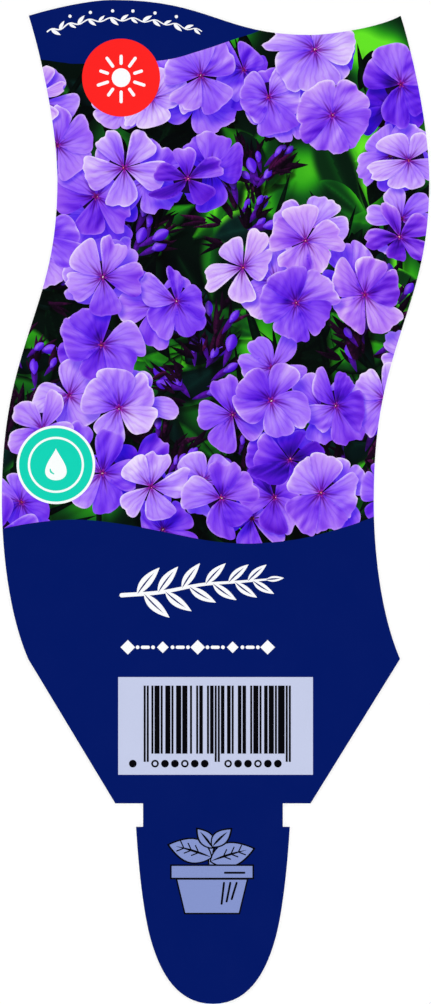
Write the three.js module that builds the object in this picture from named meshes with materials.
// A slot-in plant label for a pot: one die-cut sheet of printed polypropylene.
//
// The wavy blade carries the print. Below it the sheet narrows at straight shoulders to a neck,
// which sits in the slot of a pot's rim, and then widens a little to a tapered tongue that goes
// down inside the rim. The corners where the tongue starts are barbs that keep the label in.
//
// Millimetres. The label lies on its back with +X to its right, +Y to its top edge and +Z out of
// its printed face. The origin is the centre of the neck, on the back face.

import * as THREE from 'three';

// ---- driving dimensions ----------------------------------------------------------------------

const SHEET_THICKNESS = 0.5;

const BLADE_WIDTH = 63.6; // between the two wavy sides, which run parallel
const NECK_WIDTH = 23.9;
const NECK_LENGTH = 4.0;
const FOOT_WIDTH = 33.4; // across the flat shoulders that stand on the pot's rim
const BARB_WIDTH = 26.3; // across the two corners at the top of the tongue
const TONGUE_LENGTH = 30.3;

const CURVE_STEPS = 16; // straight facets along each curve of the outline

const FOOT_Y = NECK_LENGTH / 2;
const BARB_Y = -NECK_LENGTH / 2;
const TIP_Y = BARB_Y - TONGUE_LENGTH;

// ---- knots of the outline --------------------------------------------------------------------

// The left side of the blade is one lazy wave. Each knot is a point, the direction of the side
// there in degrees from straight down (positive leans left), and how far the side follows that
// direction before and after the point.
const SIDE_WAVE = [
  { x: -31.5, y: 136.7, lean: -17.3, before: 0, after: 8.4 }, // top corner
  { x: -26.6, y: 108.5, lean: 0, before: 8.1, after: 11.4 }, // furthest in
  { x: -31.1, y: 83.7, lean: 17.8, before: 7.6, after: 9.2 }, // midway across
  { x: -36.1, y: 53.8, lean: 0, before: 13.9, after: 8.0 }, // furthest out
  { x: -31.6, y: 26.7, lean: -23.3, before: 8.7, after: 0 }, // hip, above the shoulder
];

// The top edge runs from the left corner over a crest and through a dip to the right corner.
const TOP_CREST = { x: -17.1, y: 139.4, before: 3.6, after: 16.7 };
const TOP_DIP = { x: 16.6, y: 133.4, before: 15.1, after: 3.4 };
const TOP_LEFT_PULL = { x: 4.9, y: 1.5 }; // from the left corner towards its next handle
const TOP_RIGHT_PULL = { x: -3.4, y: -2.0 }; // from the right corner back to its handle

// The tongue is the same on both sides. The flank curves down to the cheek, and the round end
// curves on from there to the tip.
const FLANK_HANDLE = { x: 12.7, y: -9.9 };
const CHEEK = { x: 10.6, y: -21.4 };
const CHEEK_LEAN = { x: 1.13, y: 3.8 }; // direction and reach of the flank at the cheek
const TIP_REACH = 7.0; // how far the round end runs level at the tip

// ---- outline ---------------------------------------------------------------------------------

// The point reached from a knot by following its lean down (steps > 0) or up (steps < 0).
function alongSide(knot, steps) {
  const lean = THREE.MathUtils.degToRad(knot.lean);
  return { x: knot.x - Math.sin(lean) * steps, y: knot.y - Math.cos(lean) * steps };
}

// Draws the wave from one knot to the next, moved sideways by shift.
function waveTo(outline, from, to, leave, arrive, shift) {
  const start = alongSide(from, leave);
  const end = alongSide(to, arrive);
  outline.bezierCurveTo(start.x + shift, start.y, end.x + shift, end.y, to.x + shift, to.y);
}

// The left side, drawn downwards from the top corner to the hip.
function leftSide(outline) {
  for (let i = 1; i < SIDE_WAVE.length; i++) {
    const from = SIDE_WAVE[i - 1];
    const to = SIDE_WAVE[i];
    waveTo(outline, from, to, from.after, -to.before, 0);
  }
}

// The right side, drawn upwards from the hip to the top corner.
function rightSide(outline) {
  for (let i = SIDE_WAVE.length - 1; i > 0; i--) {
    const from = SIDE_WAVE[i];
    const to = SIDE_WAVE[i - 1];
    waveTo(outline, from, to, -from.before, to.after, BLADE_WIDTH);
  }
}

// The neck and the tongue, from the left foot round the tip to the right foot.
function neckAndTongue(outline) {
  outline.lineTo(-NECK_WIDTH / 2, FOOT_Y);
  outline.lineTo(-NECK_WIDTH / 2, BARB_Y);
  outline.lineTo(-BARB_WIDTH / 2, BARB_Y);
  outline.bezierCurveTo(
    -FLANK_HANDLE.x, FLANK_HANDLE.y,
    -CHEEK.x - CHEEK_LEAN.x, CHEEK.y + CHEEK_LEAN.y,
    -CHEEK.x, CHEEK.y,
  );
  outline.bezierCurveTo(
    -CHEEK.x + CHEEK_LEAN.x, CHEEK.y - CHEEK_LEAN.y,
    -TIP_REACH, TIP_Y,
    0, TIP_Y,
  );
  outline.bezierCurveTo(
    TIP_REACH, TIP_Y,
    CHEEK.x - CHEEK_LEAN.x, CHEEK.y - CHEEK_LEAN.y,
    CHEEK.x, CHEEK.y,
  );
  outline.bezierCurveTo(
    CHEEK.x + CHEEK_LEAN.x, CHEEK.y + CHEEK_LEAN.y,
    FLANK_HANDLE.x, FLANK_HANDLE.y,
    BARB_WIDTH / 2, BARB_Y,
  );
  outline.lineTo(NECK_WIDTH / 2, BARB_Y);
  outline.lineTo(NECK_WIDTH / 2, FOOT_Y);
  outline.lineTo(FOOT_WIDTH / 2, FOOT_Y);
}

// The top edge, drawn from the right corner back to the left one.
function topEdge(outline) {
  const left = SIDE_WAVE[0];
  const right = { x: left.x + BLADE_WIDTH, y: left.y };
  outline.bezierCurveTo(
    right.x + TOP_RIGHT_PULL.x, right.y + TOP_RIGHT_PULL.y,
    TOP_DIP.x + TOP_DIP.after, TOP_DIP.y,
    TOP_DIP.x, TOP_DIP.y,
  );
  outline.bezierCurveTo(
    TOP_DIP.x - TOP_DIP.before, TOP_DIP.y,
    TOP_CREST.x + TOP_CREST.after, TOP_CREST.y,
    TOP_CREST.x, TOP_CREST.y,
  );
  outline.bezierCurveTo(
    TOP_CREST.x - TOP_CREST.before, TOP_CREST.y,
    left.x + TOP_LEFT_PULL.x, left.y + TOP_LEFT_PULL.y,
    left.x, left.y,
  );
}

// The whole die line, anticlockwise from the blade's top left corner.
function dieLine() {
  const outline = new THREE.Shape();
  const hip = SIDE_WAVE[SIDE_WAVE.length - 1];
  outline.moveTo(SIDE_WAVE[0].x, SIDE_WAVE[0].y);
  leftSide(outline);
  outline.lineTo(-FOOT_WIDTH / 2, FOOT_Y);
  neckAndTongue(outline);
  outline.lineTo(hip.x + BLADE_WIDTH, hip.y);
  rightSide(outline);
  topEdge(outline);
  return outline;
}

// ---- the label -------------------------------------------------------------------------------

function labelSheet() {
  const geometry = new THREE.ExtrudeGeometry(dieLine(), {
    depth: SHEET_THICKNESS,
    bevelEnabled: false,
    curveSegments: CURVE_STEPS,
  });
  const material = new THREE.MeshStandardMaterial({ color: 0x001a65, roughness: 0.35, metalness: 0 });
  const sheet = new THREE.Mesh(geometry, material);
  sheet.name = 'label_sheet';
  return sheet;
}

const plantLabel = new THREE.Group();
plantLabel.add(labelSheet());

export default plantLabel;
